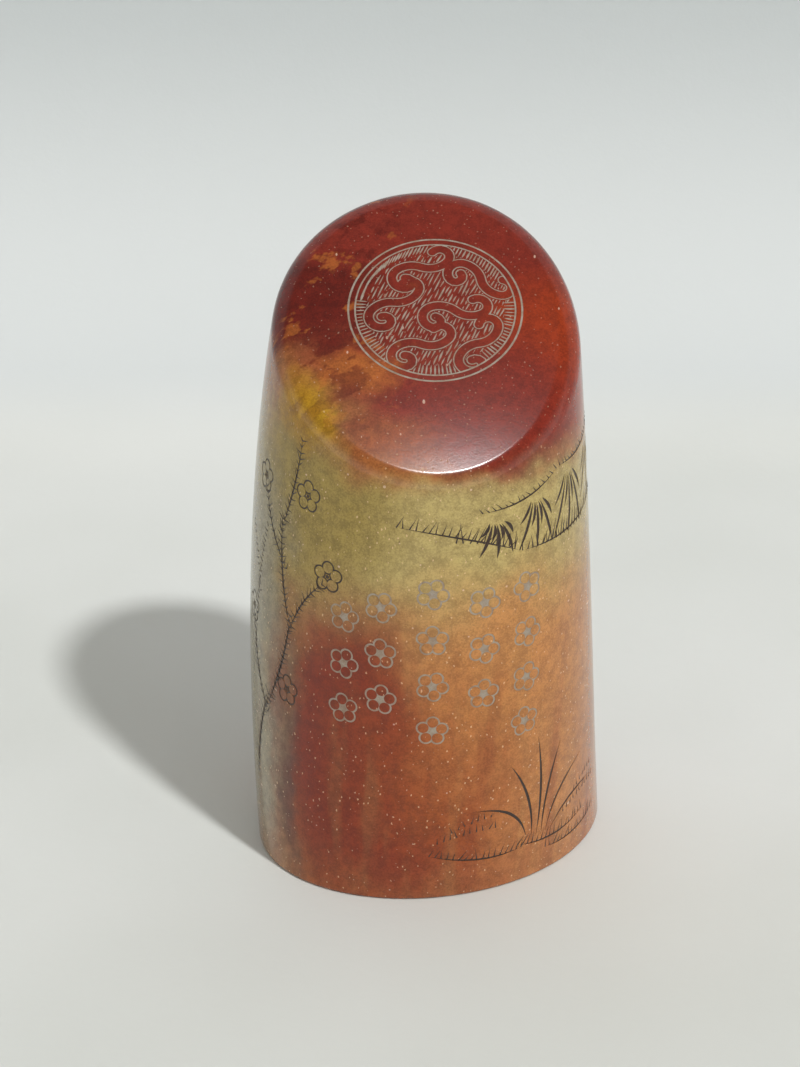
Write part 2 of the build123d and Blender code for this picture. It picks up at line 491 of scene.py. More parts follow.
def column_drawings(side, given, chance):
    """One column of blossoms in fine outline, each turned a little and with a few stamens."""
    degrees, drop, count = BLOSSOM_COLUMNS[side]
    piece = f"{side}_blossom_filling"
    drawings = []
    for row in range(count):
        turn, down = chance.uniform(-0.5, 0.5), -row * given.blossom_pitch
        flower = blossom_drawing(piece, given.petal, 0.19 * MM, 0.24 * MM)
        stamens = []
        for number in range(5):
            angle = math.pi / 2 + 2 * math.pi * (number + 0.5) / 5
            toward = np.array([math.cos(angle), math.sin(angle)])
            stamens.append(blade(*(0.1 * MM * toward), *(0.78 * MM * toward), 0.0, 0.15 * MM, 4))
        flower.append(Drawing(piece, stamens))
        for drawing in flower:
            drawings.append(drawing.put(lambda loop, t=turn, y=down: moved(loop, 0.0, y, t)))
    return math.radians(degrees), BLOSSOM_TOP - drop * given.blossom_pitch, drawings


PLUM_STROKES = (
    (-0.12, 0.00, -0.055, 0.25, 0.014, 0.016),
    (-0.06, 0.22, 0.035, 0.50, -0.016, 0.014),
    (0.035, 0.47, -0.015, 0.74, 0.014, 0.012),
    (-0.02, 0.71, 0.042, 0.96, -0.012, 0.010),
    (-0.058, 0.20, -0.155, 0.42, 0.018, 0.010),
    (0.034, 0.46, 0.135, 0.62, 0.012, 0.009),
    (0.012, 0.62, -0.105, 0.79, 0.014, 0.009),
)
PLUM_BLOSSOMS = ((-0.165, 0.445), (0.150, 0.645), (-0.115, 0.815), (0.075, 0.83), (0.03, 0.30))
PLUM_HEIGHT = 40 * MM


def plum_drawings(given):
    """The plum branch on the left of the stone, drawn with fine strokes, and its blossoms in outline."""
    drawings, gaps = [], []
    for x, up in PLUM_BLOSSOMS:
        for drawing in blossom_drawing("plum_blossom_ink", given.petal, 0.17 * MM, 0.2 * MM):
            drawings.append(drawing.put(lambda loop, x=x, y=up: moved(loop, x * PLUM_HEIGHT, y * PLUM_HEIGHT)))
        gaps.append(circle(x * PLUM_HEIGHT, up * PLUM_HEIGHT, sum(given.petal), 24))
    strokes = []
    for x1, y1, x2, y2, bow, thickness in PLUM_STROKES:
        row = np.array((x1, y1, x2, y2, bow, thickness * 0.55)) * PLUM_HEIGHT
        strokes.append(blade(*row, steps=24))
    drawings.append(Drawing("plum_branch_ink", strokes, gaps))
    return math.radians(-56), 9 * MM, drawings


BAMBOO_TWIGS = ((0.95, 1.02, 0.10, 0.86, 0.05, 0.036), (0.04, 0.85, -0.78, 0.62, 0.05, 0.030))
BAMBOO_SPRAYS = ((0.72, 0.95, 0.66), (0.24, 0.86, 0.74), (-0.24, 0.74, 0.60), (-0.66, 0.62, 0.46))
BANK_LINES = ((-1.35, 0.50, -0.45, 0.20, 0.03, 0.030), (-0.42, 0.19, 0.85, 0.30, -0.04, 0.034))
BAMBOO_HEIGHT = 10.5 * MM


def bamboo_drawings():
    """Bamboo sprays high on the right of the stone."""
    rows = [(*row[:5], row[5] * 0.6) for row in (*BAMBOO_TWIGS, *BANK_LINES)]
    for x, up, reach in BAMBOO_SPRAYS:
        for degrees in (-124, -112, -102, -92, -82, -72, -58):
            along, rise = math.cos(math.radians(degrees)), math.sin(math.radians(degrees))
            full = reach * (1.0 if degrees in (-112, -92, -72) else 0.6)
            start, tip = (x + 0.12 * along, up + 0.12 * rise), (x + full * along, up + full * rise)
            rows.append((*start, *tip, 0.02, 0.032))
    strokes = [blade(*(np.array(row) * BAMBOO_HEIGHT), steps=14) for row in rows]
    return math.radians(45), 36 * MM, [Drawing("bamboo_ink", strokes)]


ORCHID_LEAVES = (
    (-0.13, -0.66, 0.42, -0.13),
    (-0.08, -0.36, 0.80, -0.07),
    (-0.03, -0.09, 1.00, -0.04),
    (0.03, 0.20, 0.86, 0.05),
    (0.08, 0.54, 0.58, 0.11),
    (0.13, 0.72, 0.24, 0.10),
)
GROUND_LINES = (
    (-0.95, 0.02, -0.18, -0.06, -0.05, 0.030),
    (-0.22, -0.03, 0.60, -0.02, -0.05, 0.032),
    (0.10, -0.17, 0.85, -0.12, -0.04, 0.028),
)
ORCHID_HEIGHT = 12 * MM


def orchid_drawings():
    """An orchid clump low on the right of the stone, and the ground that it grows from."""
    leaves = [(root, 0.0, x, up, bow, 0.026) for root, x, up, bow in ORCHID_LEAVES]
    leaves = [blade(*(np.array(row) * ORCHID_HEIGHT), steps=20) for row in leaves]
    ground = [blade(*(np.array((*row[:5], row[5] * 0.6)) * ORCHID_HEIGHT), steps=20) for row in GROUND_LINES]
    return math.radians(42), 5 * MM, [Drawing("orchid_ink", leaves), Drawing("ground_line_ink", ground)]


def face_drawings(given):
    """The seal face's sunk ground: all but a border, a blossom and four cloud scrolls."""
    half = (given.foot[0] / 2 - 1.5 * MM, given.foot[1] / 2 - 1.5 * MM)
    around = np.linspace(0, 2 * math.pi, 160, endpoint=False)
    field = np.stack([half[0] * np.cos(around), half[1] * np.sin(around)], 1)
    field = moved(field, turn=given.oval_turn)
    path = scroll_path(8.5 * MM)
    standing = []
    for number in range(4):
        angle = given.oval_turn + math.pi / 2 * number
        spot = 10.4 * MM * np.array([math.cos(angle), math.sin(angle)])
        standing.append(ribbon(moved(path, *spot, angle + math.pi / 2), 0.75 * MM))
    hearts = [circle(0, 0, 1.3 * MM, 40)]
    outer, inner = petals(3.1 * MM, 3.6 * MM, steps=48), petals(2.5 * MM, 3.3 * MM, steps=48)
    return [
        Drawing("ground", [field], [*standing, *hearts, *outer]),
        Drawing("ground", inner, hearts, [field]),
    ]


def signed_area(loop):
    x, y = loop[:, 0], loop[:, 1]
    return (x * np.roll(y, -1) - y * np.roll(x, -1)).sum() / 2


def cut_sheet(outline, grid, drawings):
    """Triangulates a flat outline along every drawn line. It works in millimetres, and gives the corners, the
    triangles and, for each piece, which triangles it takes."""
    points, faces, parts = [], [], []

    def take(loop):
        loop = loop if signed_area(loop) > 0 else loop[::-1]
        first = sum(map(len, points))
        points.append(loop)
        faces.append(list(range(first, first + len(loop))))
        return len(faces) - 1

    frame_face = take(outline)
    for drawing in drawings:
        sets = (drawing.shapes, drawing.gaps, drawing.bounds)
        parts.append((drawing.piece, *({take(loop / MM) for loop in loops} for loops in sets)))
    points.append(grid)
    given = np.concatenate(points)
    corners, _, triangles, sources, _, inside = delaunay_2d_cdt(
        [Vector(point) for point in given], [], faces, 0, 1e-5, True
    )
    exact = np.array([given[source[0]] if source else corner for corner, source in zip(corners, sources)])
    kept, taken = [], {piece: [] for piece, *_ in parts}
    for triangle, shapes in zip(triangles, inside):
        shapes = set(shapes)
        if frame_face not in shapes:
            continue
        kept.append(triangle)
        hit = None
        for piece, wanted, gaps, bounds in parts:
            if shapes & wanted and not shapes & gaps and (not bounds or shapes & bounds):
                hit = piece
        for piece, marks in taken.items():
            marks.append(piece == hit)
    return exact, np.array(kept), {piece: np.array(marks) for piece, marks in taken.items()}


class Shell:
    """Corners, triangles and corner normals of one closed mesh."""

    def __init__(self):
        self.corners, self.normals, self.count = [], [], 0

    def add(self, corners, normals=None):
        """Triangles as rows of three corners. Without normals each is shaded flat."""
        if not len(corners):
            return
        if normals is None:
            normals = np.cross(corners[:, 1] - corners[:, 0], corners[:, 2] - corners[:, 0])
            normals /= np.maximum(np.linalg.norm(normals, axis=1), 1e-18)[:, None]
            normals = np.repeat(normals[:, None], 3, axis=1)
        self.corners.append(corners)
        self.normals.append(normals)

    def strip(self, lower, upper, lower_normals, upper_normals):
        """A closed band between two loops of points."""
        step = np.roll(np.arange(len(lower)), -1)
        for rows in (
            ((lower, lower_normals, None), (lower, lower_normals, step), (upper, upper_normals, step)),
            ((lower, lower_normals, None), (upper, upper_normals, step), (upper, upper_normals, None)),
        ):
            corners = np.stack([points if order is None else points[order] for points, _, order in rows], 1)
            normals = np.stack([ways if order is None else ways[order] for _, ways, order in rows], 1)
            self.add(corners, normals)

    def build(self, name):
        corners, normals = np.concatenate(self.corners), np.concatenate(self.normals)
        flat = corners.reshape(-1, 3)
        cells = np.round(flat / WELD).astype(np.int64)
        _, first, same = np.unique(cells, axis=0, return_index=True, return_inverse=True)
        triangles = same.reshape(-1, 3)
        a, b, c = triangles.T
        whole = (a != b) & (b != c) & (c != a)
        mesh = bpy.data.meshes.new(name)
        mesh.from_pydata(flat[first].tolist(), [], triangles[whole].tolist())
        mesh.polygons.foreach_set("use_smooth", np.ones(whole.sum(), bool))
        mesh.normals_split_custom_set(normals[whole].reshape(-1, 3).tolist())
        mesh.update()
        made = bpy.data.objects.new(name, mesh)
        bpy.context.scene.collection.objects.link(made)
        return made


def shared_edges(triangles, marked):
    """Directed edges of unmarked triangles that have a marked triangle on their other side."""
    owner = {}
    for number in np.flatnonzero(marked):
        a, b, c = triangles[number]
        owner[(a, b)] = owner[(b, c)] = owner[(c, a)] = number
    edges = []
    for a, b, c in triangles[~marked]:
        for start, end in ((a, b), (b, c), (c, a)):
            if (end, start) in owner:
                edges.append((start, end))
    return np.array(edges, int).reshape(-1, 2)


def carve(stone, fillings, sheet, lift, depth, sunk):
    """Adds a cut sheet to the stone, with a groove under every marked triangle, and fills the grooves."""
    flat, triangles, taken = sheet
    points, normals = lift(flat)
    floor = points - depth * normals
    carved = np.any(list(taken.values()), axis=0) if taken else np.zeros(len(triangles), bool)
    stone.add(points[triangles[~carved]], normals[triangles[~carved]])
    stone.add(floor[triangles[carved]], normals[triangles[carved]])
    edges = shared_edges(triangles, carved)
    a, b = edges[:, 0], edges[:, 1]
    stone.add(np.stack([points[b], points[a], floor[a]], 1))
    stone.add(np.stack([points[b], floor[a], floor[b]], 1))
    if sunk is None:
        return
    top = points - sunk * normals
    for piece, marks in taken.items():
        if not marks.any():
            continue
        shell = fillings.setdefault(piece, Shell())
        own = triangles[marks]
        shell.add(top[own], normals[own])
        shell.add(floor[own[:, ::-1]], -normals[own[:, ::-1]])
        a, b = open_edges(own)
        shell.add(np.stack([top[b], top[a], floor[a]], 1))
        shell.add(np.stack([top[b], floor[a], floor[b]], 1))


def open_edges(triangles):
    """Directed edges that no other triangle of the set shares."""
    edges = np.concatenate([triangles[:, [0, 1]], triangles[:, [1, 2]], triangles[:, [2, 0]]])
    known = set(map(tuple, edges))
    rim = np.array([edge for edge in map(tuple, edges) if edge[::-1] not in known], int).reshape(-1, 2)
    return rim[:, 0], rim[:, 1]


def grid_over(low, high, step):
    """Points of a triangular grid over a box, in millimetres."""
    rows = []
    height = step * math.sqrt(3) / 2
    for number, y in enumerate(np.arange(low[1] + height / 2, high[1], height)):
        x = np.arange(low[0] + step * (0.25 + 0.5 * (number % 2)), high[0], step)
        rows.append(np.stack([x, np.full_like(x, y)], 1))
    return np.concatenate(rows)


def inside_loop(points, loop):
    """Which points lie inside a closed outline."""
    x, y = points[:, 0], points[:, 1]
    result = np.zeros(len(points), bool)
    for (x1, y1), (x2, y2) in zip(loop, np.roll(loop, -1, axis=0)):
        if y1 == y2:
            continue
        crossing = ((y1 > y) != (y2 > y)) & (x < (x2 - x1) * (y - y1) / (y2 - y1) + x1)
        result ^= crossing
    return result


def build_stone(block, given):
    """The stone's shell and the shells of every filling."""
    chance = random.Random(given.seed)
    stone, fillings = Shell(), {}
    around = block.seam + np.linspace(0, 2 * math.pi, ROUND + 1)
    ring = around[:-1]

    # rolled rim: a ball of the rim's radius rolls along the edge, touching side and dome
    rim, inner = block.rim_radius, block.dome_radius - block.rim_radius
    top = block.where(
        lambda p, n: np.linalg.norm(p - rim * n - block.dome_middle, axis=1) - inner, 0.035, 0.0695, ring
    )
    edge, side_way = block.side(ring, top)
    ball = edge - rim * side_way
    dome_way = (ball - block.dome_middle) / inner
    ways = [turned_between(side_way, dome_way, k / RIM_STEPS) for k in range(RIM_STEPS + 1)]
    rows = [(ball + rim * way, way) for way in ways]
    rows[0] = (edge, side_way)
    lip = ball + rim * dome_way
    flat_lip = np.stack([(lip - block.crown_middle) @ RIGHT, (lip - block.crown_middle) @ block.up], 1)
    lip, lip_way = block.dome(*flat_lip.T)
    rows[-1] = (lip, lip_way)
    for (lower, lower_way), (upper, upper_way) in zip(rows, rows[1:]):
        stone.strip(lower, upper, lower_way, upper_way)

    # foot edge
    foot = block.foot_radius
    bottom = block.where(lambda p, n: (p - foot * n)[:, 2] - foot, 0.0, 0.002, ring)
    foot_edge, foot_way = block.side(ring, bottom)
    ball = foot_edge - foot * foot_way
    down = np.tile(-ABOVE, (ROUND, 1))
    ways = [turned_between(down, foot_way, k / FOOT_STEPS) for k in range(FOOT_STEPS + 1)]
    rows = [(ball + foot * way, way) for way in ways]
    rows[0] = (np.stack([ball[:, 0], ball[:, 1], np.zeros(ROUND)], 1), down)
    rows[-1] = (foot_edge, foot_way)
    for (lower, lower_way), (upper, upper_way) in zip(rows, rows[1:]):
        stone.strip(lower, upper, lower_way, upper_way)

    # side, unrolled
    unrolled = UNROLL * (around - block.seam)
    seam = np.arange(math.ceil(bottom[0] / MM) + 0.5, top[0] / MM - 0.4, SEAM_STEP)
    right_end, left_end = np.full_like(seam, unrolled[-1]), np.zeros_like(seam)
    outline = np.concatenate(
        [
            np.stack([unrolled, np.append(bottom, bottom[0]) / MM], 1),
            np.stack([right_end, seam], 1),
            np.stack([unrolled, np.append(top, top[0]) / MM], 1)[::-1],
            np.stack([left_end, seam], 1)[::-1],
        ]
    )
    drawings = []
    sets = [plum_drawings(given), bamboo_drawings(), orchid_drawings()]
    sets += [column_drawings(side, given, chance) for side in BLOSSOM_COLUMNS]
    for turn, height, group in sets:

        def onto_side(loop, turn=turn, height=height):
            angle, level = block.facing(turn, height, loop)
            return np.stack([UNROLL * MM * ((angle - block.seam) % (2 * math.pi)), level], 1)

        drawings += [drawing.put(onto_side) for drawing in group]
    grid = grid_over((0.0, bottom.min() / MM + 0.5), (unrolled[-1], top.max() / MM), SEAM_STEP)
    ceiling = np.interp(grid[:, 0], unrolled, np.append(top, top[0]) / MM)
    grid = grid[(grid[:, 1] < ceiling - 0.3) & (grid[:, 0] > 0.3) & (grid[:, 0] < unrolled[-1] - 0.3)]

    def onto_column(flat):
        angle = np.where(flat[:, 0] >= unrolled[-1] - 1e-9, 0.0, flat[:, 0]) / UNROLL + block.seam
        return block.side(angle, flat[:, 1] * MM)

    carve(stone, fillings, cut_sheet(outline, grid, drawings), onto_column, given.groove, given.sunk)

    # crown
    shift = np.array([0.3, -1.15]) * MM
    drawings = [drawing.put(lambda loop: loop + shift) for drawing in roundel_drawings(given, chance)]
    lip_flat = flat_lip / MM
    grid = grid_over(lip_flat.min(0), lip_flat.max(0), CROWN_STEP)
    grid = grid[inside_loop(grid, lip_flat * 0.98 + lip_flat.mean(0) * 0.02)]
    carve(
        stone,
        fillings,
        cut_sheet(lip_flat, grid, drawings),
        lambda flat: block.dome(*(flat * MM).T),
        given.groove,
        given.sunk,
    )

    # seal face, seen from below, so its sheet is turned over
    sole = np.stack([ball[:, 0], ball[:, 1]], 1) / MM
    flip = np.array([1.0, -1.0])
    drawings = [drawing.put(lambda loop: loop * flip) for drawing in face_drawings(given)]
    grid = grid_over((sole * flip).min(0), (sole * flip).max(0), 1.5)
    grid = grid[inside_loop(grid, sole * flip * 0.98)]

    def onto_face(flat):
        points = np.stack([flat[:, 0] * MM, -flat[:, 1] * MM, np.zeros(len(flat))], 1)
        return points, np.tile(-ABOVE, (len(flat), 1))

    carve(stone, fillings, cut_sheet(sole[::-1] * flip, grid, drawings), onto_face, given.relief, None)
    return stone, fillings


# Lines that carry short strokes: degrees round the stone, foot and scale in metres,
# lean in degrees, share of the length, and rows as in the drawings
STROKE_LINES = (
    (-56, 9 * MM, PLUM_HEIGHT, 55, 1.1, [row[:5] for row in PLUM_STROKES]),
    (-56, 9 * MM, PLUM_HEIGHT, -55, 1.1, [row[:5] for row in PLUM_STROKES]),
    (45, 36 * MM, BAMBOO_HEIGHT, -62, 1.0, [row[:5] for row in BAMBOO_TWIGS]),
    (42, 5 * MM, ORCHID_HEIGHT, 84, 1.5, [row[:5] for row in GROUND_LINES]),
    (45, 36 * MM, BAMBOO_HEIGHT, 80, 1.6, [row[:5] for row in BANK_LINES]),
    (45, 36 * MM, BAMBOO_HEIGHT, 86, 2.4, [(-1.0, 0.36, -0.5, 0.24, 0.02), (-0.3, 0.2, 0.5, 0.2, -0.02)]),
    (42, 5 * MM, ORCHID_HEIGHT, 82, 1.3, [(-0.9, 0.14, -0.45, 0.22, 0.03), (0.3, 0.1, 0.8, 0.2, 0.03)]),
    (42, 5 * MM, ORCHID_HEIGHT, 75, 1.0, [(-0.8, 0.24, -0.5, 0.34, 0.02), (0.45, 0.24, 0.75, 0.34, 0.02)]),
    (-64, 22 * MM, BAMBOO_HEIGHT, 70, 0.9, [(-0.3, 0.0, -0.1, 1.4, 0.05), (-0.2, 0.7, -0.5, 1.3, -0.03)]),
)


def stroke_lines(block):
    """The lines on the side as a mesh of edges that knows which way is out, the strokes' lean and their length."""
    points, outward, edges, leans, reaches = [], [], [], [], []
    for degrees, foot, scale, lean, reach, rows in STROKE_LINES:
        for x1, y1, x2, y2, bow in rows:
            start, way = np.array([x1, y1]), np.array([x2 - x1, y2 - y1])
            across = np.array([-way[1], way[0]]) / np.linalg.norm(way)
            share = np.linspace(0, 1, 25)[:, None]
            drawn = (start + share * way + 4 * share * (1 - share) * bow * across) * scale
            line, normals = block.side(*block.facing(math.radians(degrees), foot, drawn))
            first = len(points)
            points += line.tolist()
            outward += normals.tolist()
            edges += [(first + k, first + k + 1) for k in range(len(line) - 1)]
            leans += [math.radians(lean)] * len(line)
            reaches += [reach] * len(line)
    mesh = bpy.data.meshes.new("stroke lines")
    mesh.from_pydata(points, edges, [])
    mesh.attributes.new("outward", "FLOAT_VECTOR", "POINT").data.foreach_set("vector", np.array(outward).ravel())
    mesh.attributes.new("lean", "FLOAT", "POINT").data.foreach_set("value", leans)
    mesh.attributes.new("reach", "FLOAT", "POINT").data.foreach_set("value", reaches)
    return mesh


def stroke_tree():
    """Geometry Nodes that stand short pointed strokes along lines, each leaning a little by chance."""
    tree = bpy.data.node_groups.new("strokes along lines", "GeometryNodeTree")
    sockets = (
        ("Lines", "Geometry"), ("Pitch", "Float"), ("Length", "Float"), ("Width", "Float"),
        ("Depth", "Float"), ("Spread", "Float"), ("Seed", "Int"), ("Ink", "Material"),
    )
    for label, kind in sockets:
        tree.interface.new_socket(label, in_out="INPUT", socket_type=f"NodeSocket{kind}")
    tree.interface.new_socket("Strokes", in_out="OUTPUT", socket_type="NodeSocketGeometry")
    given = tree.nodes.new("NodeGroupInput").outputs
    made = tree.nodes.new("NodeGroupOutput").inputs
    curve = add(tree, "GeometryNodeMeshToCurve", Mesh=given["Lines"]).outputs[0]
    points = add(tree, "GeometryNodeCurveToPoints", {"mode": "LENGTH"}, Curve=curve, Length=given["Pitch"])
    told = {}
    for name, kind in (("outward", "FLOAT_VECTOR"), ("lean", "FLOAT"), ("reach", "FLOAT")):
        node = add(tree, "GeometryNodeInputNamedAttribute", {"data_type": kind}, Name=name)
        told[name] = next(socket for socket in node.outputs if socket.enabled)
    stand = tree.nodes.new("FunctionNodeAxesToRotation")
    stand.primary_axis, stand.secondary_axis = "Z", "X"
    tree.links.new(told["outward"], stand.inputs[0])
    tree.links.new(points.outputs["Tangent"], stand.inputs[1])
    low = calc(tree, "MULTIPLY", given["Spread"], -1.0)
    chance = {}
    for name, least, most, shift in (("lean", low, given["Spread"], 0), ("length", 0.55, 1.0, 1)):
        seed = calc(tree, "ADD", given["Seed"], float(shift))
        node = add(tree, "FunctionNodeRandomValue", {"data_type": "FLOAT"}, Min=least, Max=most, Seed=seed)
        chance[name] = next(socket for socket in node.outputs if socket.enabled)
    angle = add(tree, "ShaderNodeCombineXYZ", Z=calc(tree, "ADD", told["lean"], chance["lean"])).outputs[0]
    turn = add(tree, "FunctionNodeEulerToRotation", Euler=angle).outputs[0]
    leaning = {"Rotation": stand.outputs[0], "Rotate_By": turn}
    stand = add(tree, "FunctionNodeRotateRotation", {"rotation_space": "LOCAL"}, **leaning)
    cone = add(tree, "GeometryNodeMeshCone", Vertices=6, Radius_Top=0.0, Radius_Bottom=0.5, Depth=1.0).outputs[0]
    stroke = add(tree, "GeometryNodeTransform", Geometry=cone, Rotation=(0.0, math.pi / 2, 0.0))
    length = calc(tree, "MULTIPLY", calc(tree, "MULTIPLY", given["Length"], told["reach"]), chance["length"])
    size = add(tree, "ShaderNodeCombineXYZ", X=length, Y=given["Width"], Z=given["Depth"]).outputs[0]
    stood = add(
        tree, "GeometryNodeInstanceOnPoints",
        Points=points.outputs[0], Instance=stroke.outputs[0], Rotation=stand.outputs[0], Scale=size,
    )
    real = add(tree, "GeometryNodeRealizeInstances", Geometry=stood.outputs[0]).outputs[0]
    inked = add(tree, "GeometryNodeSetMaterial", Geometry=real, Material=given["Ink"])
    tree.links.new(inked.outputs[0], made["Strokes"])
    return tree


def build_strokes(name, block, given, ink):
    """Runs the strokes' nodes on the lines and keeps the result as a plain mesh."""
    carrier = bpy.data.objects.new(name + " lines", stroke_lines(block))
    bpy.context.scene.collection.objects.link(carrier)
    modifier = carrier.modifiers.new("strokes", "NODES")
    modifier.node_group = stroke_tree()
    values = {
        "Pitch": given.tick_pitch, "Length": given.tick_length, "Width": given.tick_width,
        "Depth": given.tick_width * 0.5, "Spread": given.tick_spread, "Seed": given.seed, "Ink": ink,
    }
    for item in modifier.node_group.interface.items_tree:
        if item.name in values:
            modifier[item.identifier] = values[item.name]
    shaped = carrier.evaluated_get(bpy.context.evaluated_depsgraph_get())
    mesh = bpy.data.meshes.new_from_object(shaped)
    if max((face.area for face in mesh.polygons), default=0.0) < SMALLEST_STROKE:
        raise RuntimeError("the strokes came out empty or without length")
    bpy.data.objects.remove(carrier)
    made = bpy.data.objects.new(name, mesh)
    bpy.context.scene.collection.objects.link(made)
    return made


BUILT = {}


def built():
    """The shells, made once for all the operators."""
    if not BUILT:
        BUILT["block"] = Block(sizes())
        BUILT["stone"], BUILT["fillings"] = build_stone(BUILT["block"], sizes())
    return BUILT


# Shader helpers


def add(tree, kind, settings=None, **inputs):
    """Adds a node. Inputs are values or sockets, named with _ for a space."""
    node = tree.nodes.new(kind)
    for key, value in (settings or {}).items():
        setattr(node, key, value)
    for key, value in inputs.items():
        socket = next(s for s in node.inputs if s.enabled and s.name == key.replace("_", " "))
        if isinstance(value, bpy.types.NodeSocket):
            tree.links.new(value, socket)
        else:
            socket.default_value = value
    return node


def link_or_set(tree, socket, value):
    if isinstance(value, bpy.types.NodeSocket):
        tree.links.new(value, socket)
    else:
        socket.default_value = value


def calc(tree, operation, *values, clamp=False):
    node = tree.nodes.new("ShaderNodeMath")
    node.operation, node.use_clamp = operation, clamp
    for socket, value in zip(node.inputs, values):
        link_or_set(tree, socket, value)
    return node.outputs[0]


def vector_calc(tree, operation, *values):
    node = tree.nodes.new("ShaderNodeVectorMath")
    node.operation = operation
    for socket, value in zip(node.inputs, values):
        link_or_set(tree, socket, value)
    return node.outputs["Value" if operation in ("LENGTH", "DISTANCE", "DOT_PRODUCT") else "Vector"]


def blend(tree, share, first, second, kind="MIX"):
    node = tree.nodes.new("ShaderNodeMix")
    node.data_type, node.blend_type = "RGBA", kind
    for socket, value in zip((node.inputs["Factor"], node.inputs[6], node.inputs[7]), (share, first, second)):
        if isinstance(value, tuple) and len(value) == 3:
            value = (*value, 1.0)
        link_or_set(tree, socket, value)
    return node.outputs[2]


def spread(tree, value, low, high, to_low=0.0, to_high=1.0):
    node = tree.nodes.new("ShaderNodeMapRange")
    node.interpolation_type = "SMOOTHSTEP"
    names = ("Value", "From Min", "From Max", "To Min", "To Max")
    for name, given in zip(names, (value, low, high, to_low, to_high)):
        link_or_set(tree, node.inputs[name], given)
    return node.outputs[0]


def noise(tree, where, scale, detail=2.0, roughness=0.5, colour=False):
    node = add(tree, "ShaderNodeTexNoise", Vector=where, Scale=scale, Detail=detail, Roughness=roughness)
    return node.outputs["Color" if colour else "Fac"]


def place(tree, where, turn=(0, 0, 0), scale=(1, 1, 1)):
    turn = tuple(map(math.radians, turn))
    return add(tree, "ShaderNodeMapping", Vector=where, Rotation=turn, Scale=scale).outputs[0]


def new_group(name, inputs, outputs):
    """An empty shader group with its sockets: name to socket kind and default."""
    tree = bpy.data.node_groups.new(name, "ShaderNodeTree")
    for label, (kind, value) in inputs.items():
        socket = tree.interface.new_socket(label, in_out="INPUT", socket_type=f"NodeSocket{kind}")
        if value is not None:
            socket.default_value = value
    for label, kind in outputs.items():
        tree.interface.new_socket(label, in_out="OUTPUT", socket_type=f"NodeSocket{kind}")
    return tree, tree.nodes.new("NodeGroupInput").outputs, tree.nodes.new("NodeGroupOutput").inputs


def use_group(tree, group, **inputs):
    node = tree.nodes.new("ShaderNodeGroup")
    node.node_tree = group
    for key, value in inputs.items():
        link_or_set(tree, node.inputs[key.replace("_", " ")], value)
    return node.outputs


def patch_group():
    """A soft-edged patch of colour round a place in the stone."""
    tree, given, made = new_group(
        "soft patch",
        {
            "Position": ("Vector", None),
            "Middle": ("Vector", (0, 0, 0)),
            "Reach": ("Vector", (0.01, 0.01, 0.01)),
            "Softness": ("Float", 0.5),
        },
        {"Mask": "Float"},
    )
    away = vector_calc(tree, "SUBTRACT", given["Position"], given["Middle"])
    away = vector_calc(tree, "LENGTH", vector_calc(tree, "DIVIDE", away, given["Reach"]))
    far = calc(tree, "ADD", 1.0, given["Softness"])
    near = calc(tree, "SUBTRACT", 1.0, given["Softness"])
    tree.links.new(spread(tree, away, far, near), made["Mask"])
    return tree


def grain_group():
    """The stone's fine grain: mottling, pale specks and dark pin points."""
    tree, given, made = new_group(
        "stone grain",
        {"Position": ("Vector", None)},
        {"Mottle": "Float", "Pale Specks": "Float", "Dark Specks": "Float"},
    )
    where = given["Position"]
    fine = noise(tree, where, 5200.0, 3.0, 0.65)
    broad = noise(tree, where, 900.0, 3.0, 0.6)
    mottle = calc(tree, "ADD", calc(tree, "MULTIPLY", fine, 0.55), calc(tree, "MULTIPLY", broad, 0.45))
    tree.links.new(spread(tree, mottle, 0.36, 0.64), made["Mottle"])
    shake = vector_calc(tree, "SUBTRACT", noise(tree, where, 6000.0, 2.0, 0.6, True), (0.5, 0.5, 0.5))
    ragged = vector_calc(tree, "ADD", where, vector_calc(tree, "MULTIPLY", shake, (0.00025, 0.00025, 0.00025)))
    for scale, cut, socket in ((2700.0, 0.24, "Pale Specks"), (1400.0, 0.12, "Dark Specks")):
        spots = place(tree, ragged, (13, 27, 41), (1.0, 1.0, 0.7))
        cells = add(tree, "ShaderNodeTexVoronoi", Vector=spots, Scale=scale)
        share = add(tree, "ShaderNodeSeparateColor", Color=cells.outputs["Color"]).outputs[0]
        size = calc(tree, "MULTIPLY", spread(tree, share, 0.45, 1.0), cut)
        spot = calc(tree, "SUBTRACT", size, cells.outputs["Distance"])
        tree.links.new(spread(tree, spot, -0.01, 0.05), made[socket])
    return tree


def scratch_group():
    """Short straight scratches and splinters that lie in many directions."""
    inputs = {"Position": ("Vector", None), "Amount": ("Float", 0.5)}
    tree, given, made = new_group("fine scratches", inputs, {"Mask": "Float"})
    total = None
    for number, turn in enumerate(((20, 65, 10), (75, 15, 50), (40, 120, 85), (110, 40, 150))):
        where = place(tree, given["Position"], turn, (1.0, 0.16, 1.0))
        cells = add(tree, "ShaderNodeTexVoronoi", Vector=where, Scale=620.0 + 130 * number)
        share = add(tree, "ShaderNodeSeparateColor", Color=cells.outputs["Color"]).outputs[1]
        size = calc(tree, "MULTIPLY", spread(tree, share, 0.75, 1.0), 0.1)
        line = spread(tree, calc(tree, "SUBTRACT", size, cells.outputs["Distance"]), -0.004, 0.02)
        total = line if total is None else calc(tree, "MAXIMUM", total, line)
    tree.links.new(calc(tree, "MULTIPLY", total, given["Amount"]), made["Mask"])
    return tree


def groups():
    if "groups" not in BUILT:
        BUILT["groups"] = {"patch": patch_group(), "grain": grain_group(), "scratch": scratch_group()}
    return BUILT["groups"]


